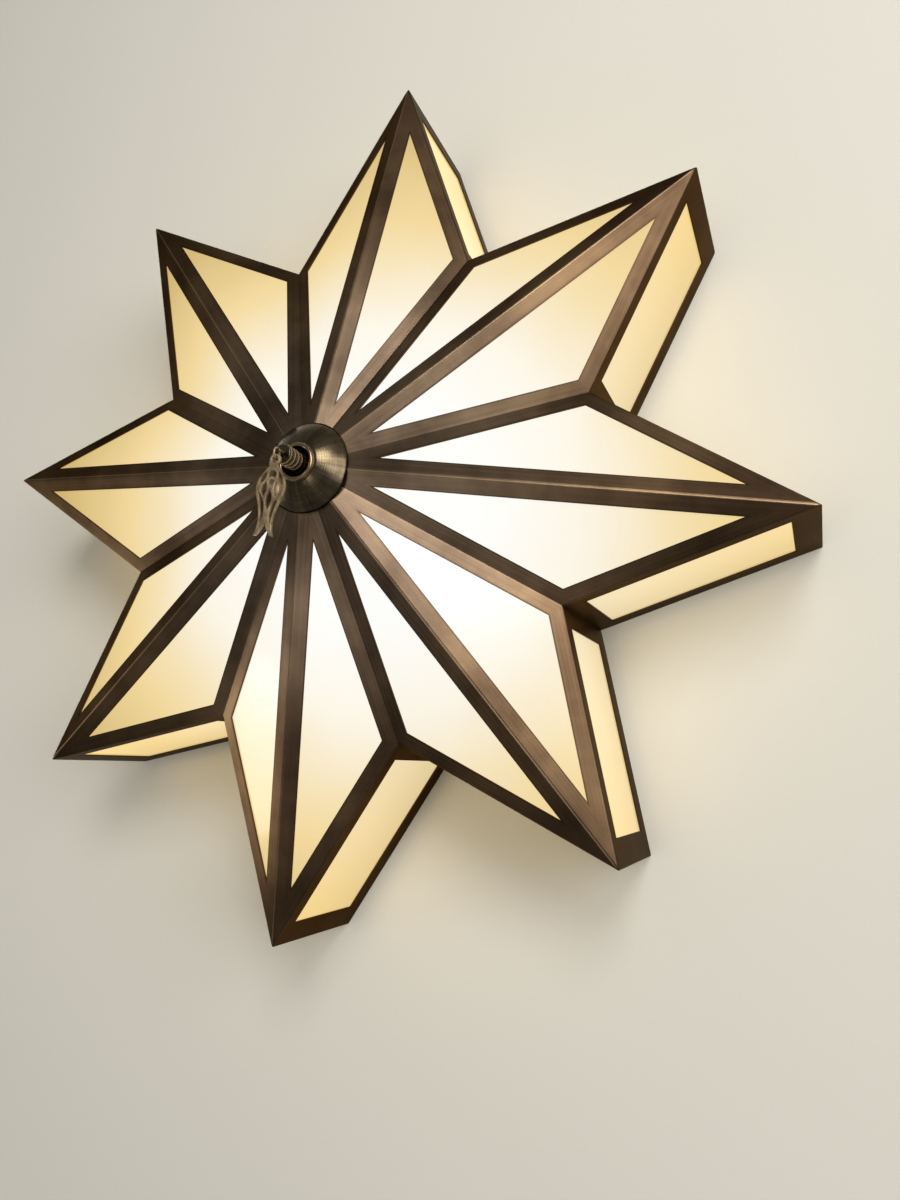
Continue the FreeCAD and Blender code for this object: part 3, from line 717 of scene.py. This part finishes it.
class STAR_OT_finial(StarOperator):
    """Turn the ringed finial nut with the eye on its end"""
    bl_idname = "star_light.finial"
    bl_label = "Turn the finial"

    def profile(self):
        """Flange, rounded rings and the blind bore as one closed outline."""
        sizes = self.sizes
        eye_end = node_top("finial_nut")
        end = eye_end - sizes.eye_wire - 2 * sizes.eye_radius + EYE_SINK
        flange_top = sizes.finial_seat + sizes.finial_flange
        reach = node_reach("finial_nut")
        soft = 0.4 * MILLIMETRE
        points = [(sizes.finial_bore, sizes.finial_seat), (reach - soft, sizes.finial_seat),
                  (reach, sizes.finial_seat + soft), (reach, flange_top - soft), (reach - soft, flange_top)]
        ring_steps = 10
        fullness = 0.6
        steps = sizes.finial_rings * ring_steps
        for i in range(steps + 1):
            swell = 0.5 - 0.5 * math.cos(2 * math.pi * i / ring_steps)
            radius = sizes.finial_radius - sizes.finial_groove * (1 - swell ** fullness)
            points.append((radius, flange_top + (end - flange_top) * i / steps))
        points.append((points[-1][0] - soft, end))
        bore_end = sizes.finial_seat + sizes.finial_depth
        return points + [(0.0, end), (0.0, bore_end), (sizes.finial_bore, bore_end)], end

    def execute(self, context):
        sizes = self.sizes
        profile, end = self.profile()
        bm = spun(profile, sizes.spin_steps // 2)
        centre = place_at(0.0, 0.0, end + sizes.eye_radius - EYE_SINK)
        upright = Matrix.Rotation(math.pi / 2, 4, "X")
        start = Matrix.Translation(centre + Vector((sizes.eye_radius, 0, 0))) @ upright
        rim = bmesh.ops.create_circle(bm, segments=14, radius=sizes.eye_wire, matrix=start)["verts"]
        edges = list({edge for vert in rim for edge in vert.link_edges})
        bmesh.ops.spin(bm, geom=rim + edges, cent=centre, axis=UP, angle=2 * math.pi, steps=48,
                       use_merge=True)
        point_outwards(bm)
        crest = sizes.finial_radius - 0.3 * sizes.finial_groove
        brass = lathe_brass("finial_brass", self.colours, crest, sizes.finial_radius)
        new_piece("turned_finial", bm, brass, "finial", ["finial_nut"])
        return {"FINISHED"}


class STAR_OT_drop(StarOperator):
    """Round the openwork drop and finish it with its ring"""
    bl_idname = "star_light.drop"
    bl_label = "Round the drop"

    def execute(self, context):
        colours = self.colours
        brass = plain_brass("drop_brass", colours.drop_brass, colours.drop_dark, 0.30, 0.65)
        bm = bmesh.new()
        bm.from_mesh(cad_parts["drop"].data)
        bmesh.ops.remove_doubles(bm, verts=bm.verts, dist=MERGE_DISTANCE)
        bmesh.ops.dissolve_limit(bm, angle_limit=math.radians(1), verts=bm.verts, edges=bm.edges)
        rims = [edge for edge in bm.edges if edge.calc_face_angle(0.0) > math.radians(60)]
        round_edges(bm, rims, self.sizes.drop_round, True)
        new_piece("cast_drop", bm, brass, "drop", ["drop"])
        dress(["drop_ring"], brass)
        return {"FINISHED"}


class STAR_OT_mount(StarOperator):
    """Finish the pan, rod, nuts, bracket, grommet and terminal block"""
    bl_idname = "star_light.mount"
    bl_label = "Finish the mount"

    def execute(self, context):
        colours = self.colours
        dress(["wall_pan", "lamp_bracket", "rod_lock_nuts"], zinc_steel(colours))
        dress(["centre_rod"], threaded_brass(colours))
        dress(["cable_grommet"], moulded("grommet_rubber", colours.rubber, 0.6))
        dress(["terminal_block"], moulded("block_plastic", colours.block, 0.45))
        return {"FINISHED"}


class STAR_OT_lamps(StarOperator):
    """Finish the lampholders and light the bulbs"""
    bl_idname = "star_light.lamps"
    bl_label = "Fit the lamps"

    def execute(self, context):
        numbers = range(1, LAMPS + 1)
        dress(["lampholder_%d" % n for n in numbers], moulded("holder_plastic", self.colours.holder, 0.4))
        cap_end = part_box("lampholder_1")[1].z + self.sizes.bulb_skirt_gap
        globe = bulb_globe(self.colours, cap_end, self.sizes.bulb_thread)
        dress(["bulb_%d" % n for n in numbers], globe)
        return {"FINISHED"}


class STAR_OT_stage(StarOperator):
    """Set up the pale wall and floor, the studio light and the camera"""
    bl_idname = "star_light.stage"
    bl_label = "Set the stage"

    def pale_paint(self, shade):
        """A plain matt paint that shows from its front only, so the back of the light can be seen too."""
        paint = Paint("pale_wall")
        behind = paint.node("ShaderNodeNewGeometry", out="Backfacing")
        matt = paint.node("ShaderNodeBsdfDiffuse", None, {"Color": rgba(shade)})
        clear = paint.node("ShaderNodeBsdfTransparent")
        shader = paint.node("ShaderNodeMixShader", None, {0: behind, 1: matt, 2: clear})
        paint.node("ShaderNodeOutputMaterial", None, {"Surface": shader})
        return paint.material

    def backdrop(self, name, paint, size, matrix, mirrored):
        """A large pale sheet that throws no light on the star; only a mirrored one shows in its brass."""
        bm = bmesh.new()
        bmesh.ops.create_grid(bm, x_segments=1, y_segments=1, size=size, matrix=matrix)
        sheet = add_mesh(name, bm, paint)
        sheet.visible_diffuse = False
        sheet.visible_transmission = False
        sheet.visible_shadow = False
        sheet.visible_glossy = mirrored

    def lamp(self, name, place, size, power, spread=180):
        """A round soft lamp that looks at the star and fans out over this many degrees."""
        data = bpy.data.lights.new(name, "AREA")
        data.shape = "DISK"
        data.size = size
        data.energy = power
        data.spread = math.radians(spread)
        lamp = add_object(name, data)
        lamp.location = place
        lamp.rotation_euler = (-Vector(place)).to_track_quat("-Z", "Y").to_euler()

    def camera(self, stage):
        """The camera of the photo, rolled as it was held."""
        data = bpy.data.cameras.new("photo_camera")
        data.sensor_fit = "VERTICAL"
        data.lens = stage.focal_share * data.sensor_height
        data.clip_start = 0.01
        camera = add_object("photo_camera", data)
        place = Vector(stage.camera_place)
        view = (Vector(stage.camera_aim) - place).to_track_quat("-Z", "Y")
        camera.matrix_world = Matrix.LocRotScale(place, view @ Quaternion((0, 0, 1), stage.camera_roll), None)
        bpy.context.scene.camera = camera

    def execute(self, context):
        scene = bpy.context.scene
        stage = scene.star_stage
        paint = self.pale_paint(self.colours.wall)
        behind = CAD_BOX[1].y + 0.5 * MILLIMETRE
        wall = Matrix.Translation((0, behind, 0)) @ Matrix.Rotation(math.pi / 2, 4, "X")
        floor = Matrix.Translation((0, behind, -stage.floor_drop))
        self.backdrop("pale_wall", paint, stage.backdrop, wall, True)
        self.backdrop("pale_floor", paint, stage.backdrop, floor, False)
        self.lamp("key_lamp", (0.66, -1.82, 1.03), 0.9, stage.key_power)
        self.lamp("side_lamp", (1.75, -1.55, 0.5), 1.6, stage.side_power)
        self.lamp("low_lamp", (-0.13, -1.92, -0.55), 0.8, stage.low_power)
        self.lamp("accent_lamp", (-1.75, -0.4, -0.6), 0.5, stage.accent_power, 70)
        self.lamp("back_lamp", (0.7, 1.7, 1.0), 1.2, stage.back_power)
        world = bpy.data.worlds.new("even_light")
        world.use_nodes = True
        background = world.node_tree.nodes["Background"]
        background.inputs["Color"].default_value = rgba(stage.world_colour)
        background.inputs["Strength"].default_value = stage.world_light
        scene.world = world
        self.camera(stage)
        scene.view_settings.view_transform = "Standard"
        return {"FINISHED"}


class STAR_PT_panel(bpy.types.Panel):
    """Sizes, colours and pieces of the star light"""
    bl_idname = "STAR_PT_panel"
    bl_label = "Star Light"
    bl_space_type = "VIEW_3D"
    bl_region_type = "UI"
    bl_category = "Star Light"

    def draw(self, context):
        for group in (context.scene.star_sizes, context.scene.star_colours, context.scene.star_stage):
            column = self.layout.column()
            for name in group.bl_rna.properties.keys():
                if name not in ("rna_type", "name"):
                    column.prop(group, name)
        for piece in PIECES:
            self.layout.operator(piece.bl_idname)


GROUPS = {"star_sizes": StarSizes, "star_colours": StarColours, "star_stage": StarStage}
PIECES = [STAR_OT_arms, STAR_OT_glass, STAR_OT_cap, STAR_OT_finial, STAR_OT_drop, STAR_OT_mount,
          STAR_OT_lamps, STAR_OT_stage]
CLASSES = [*GROUPS.values(), *PIECES, STAR_PT_panel]


def register():
    for item in CLASSES:
        bpy.utils.register_class(item)
    for name, group in GROUPS.items():
        setattr(bpy.types.Scene, name, PointerProperty(type=group))


def unregister():
    for name in GROUPS:
        delattr(bpy.types.Scene, name)
    for item in reversed(CLASSES):
        bpy.utils.unregister_class(item)


def main():
    register()
    bpy.ops.star_light.arms()
    bpy.ops.star_light.glass()
    bpy.ops.star_light.cap()
    bpy.ops.star_light.finial()
    bpy.ops.star_light.drop()
    bpy.ops.star_light.mount()
    bpy.ops.star_light.lamps()
    bpy.ops.star_light.stage()


if __name__ == "__main__":
    main()
